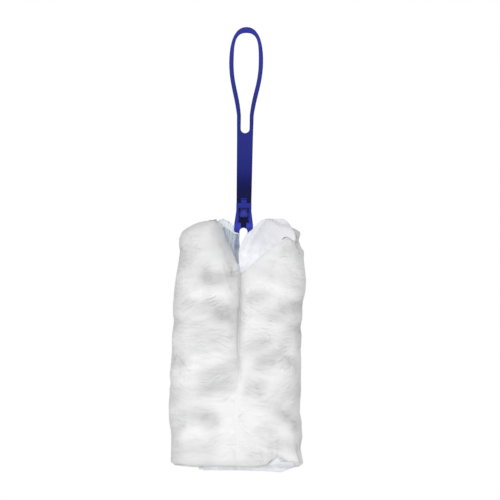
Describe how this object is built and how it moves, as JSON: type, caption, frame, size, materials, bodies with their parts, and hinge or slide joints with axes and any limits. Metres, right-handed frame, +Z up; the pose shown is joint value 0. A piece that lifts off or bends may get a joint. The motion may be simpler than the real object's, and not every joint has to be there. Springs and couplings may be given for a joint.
{
  "type": "hand duster",
  "caption": "Folding hand duster: hanging-loop handle hinged to a two-tine fork that carries a fluffy fibre refill.",
  "frame": {"origin": "inside of the hanging loop's crown, where the duster hangs, on the handle's middle plane", "axes": "+Z up along the handle towards the loop, +X to the right seen from the front, -Y towards the viewer, the fluffy side"},
  "size_m": [0.1011, 0.0333, 0.3331],
  "materials": {
    "handle_plastic": "satin",
    "fork_plastic": "satin",
    "bonded_sheet": "matte",
    "tow_fibre": "matte"
  },
  "bodies": {
    "handle": {"handle": "handle_plastic"},
    "fork": {"fork": "fork_plastic"},
    "refill": {"back_sheet": "bonded_sheet", "sleeve_sheet": "bonded_sheet", "strip_sheet": "bonded_sheet", "tow_layer_1": "tow_fibre", "tow_layer_2": "tow_fibre", "tow_layer_3": "tow_fibre", "tow_layer_4": "tow_fibre", "tow_layer_5": "tow_fibre"}
  },
  "joints": [
    {"name": "fork_fold", "type": "hinge", "parent": "handle", "child": "fork", "pos_m": [0, 0.0026, -0.136], "axis": [1, 0, 0], "range_deg": [0, 178]},
    {"name": "refill_slide", "type": "slide", "parent": "fork", "child": "refill", "axis": [0, 0, -1], "range_m": [0, 0.15]}
  ]
}
